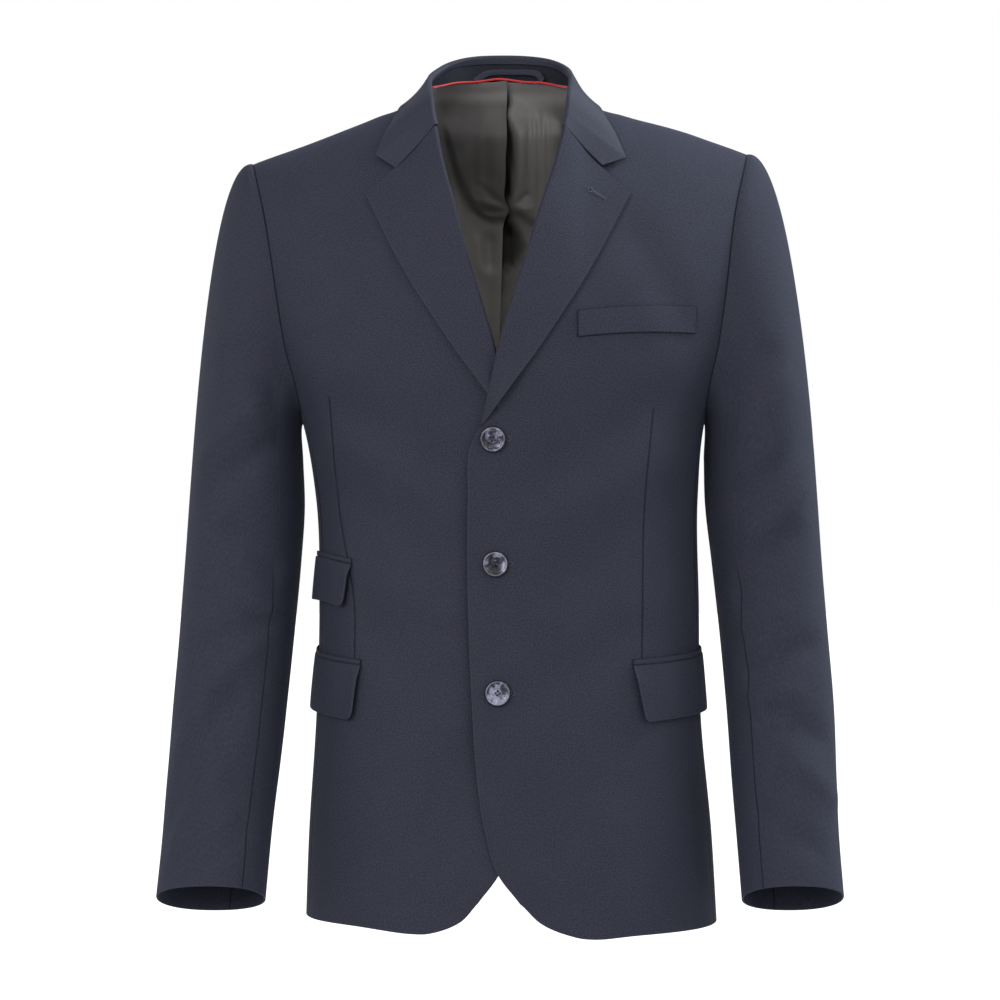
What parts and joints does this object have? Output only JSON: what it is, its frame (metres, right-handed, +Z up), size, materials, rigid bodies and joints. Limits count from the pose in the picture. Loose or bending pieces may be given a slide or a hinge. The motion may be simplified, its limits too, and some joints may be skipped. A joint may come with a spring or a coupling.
{
  "type": "uniform jacket",
  "caption": "Tailored single-breasted uniform jacket in worn form: notch lapels, turned collar, buttoned front, flap pockets, breast welt, long sleeves, with neck, hem and cuffs open.",
  "frame": {"origin": "inside the base of the neck, at the height of the inner ends of the shoulder seams, where the wearer's neck and shoulders hold the jacket", "axes": "+X to the wearer's left, -Y to the wearer's front, +Z up from the hem to the collar"},
  "size_m": [0.593, 0.2469, 0.7749],
  "materials": {
    "cloth": "dark slate navy worsted twill, soft dull surface",
    "facing": "the same dark slate navy worsted twill, pressed flat",
    "lining": "grey-brown satin lining with a soft sheen",
    "piping": "bright red corded piping",
    "button": "polished marbled grey-lavender resin"
  },
  "bodies": {
    "root": {"front_left": "cloth", "front_right": "cloth", "side_left": "cloth", "side_right": "cloth", "back_left": "cloth", "back_right": "cloth", "sleeve_upper_left": "cloth", "sleeve_upper_right": "cloth", "sleeve_under_left": "cloth", "sleeve_under_right": "cloth", "lapel_left": "facing", "lapel_right": "facing", "collar_fall": "facing", "collar_stand": "facing", "breast_welt": "facing", "ticket_jet": "facing", "ticket_flap": "facing", "pocket_jet_left": "facing", "pocket_flap_left": "facing", "pocket_jet_right": "facing", "pocket_flap_right": "facing", "lining_back_left": "lining", "lining_back_right": "lining", "hanger_loop": "facing", "neck_piping": "piping", "button_top": "button", "button_middle": "button", "button_bottom": "button"}
  },
  "joints": []
}
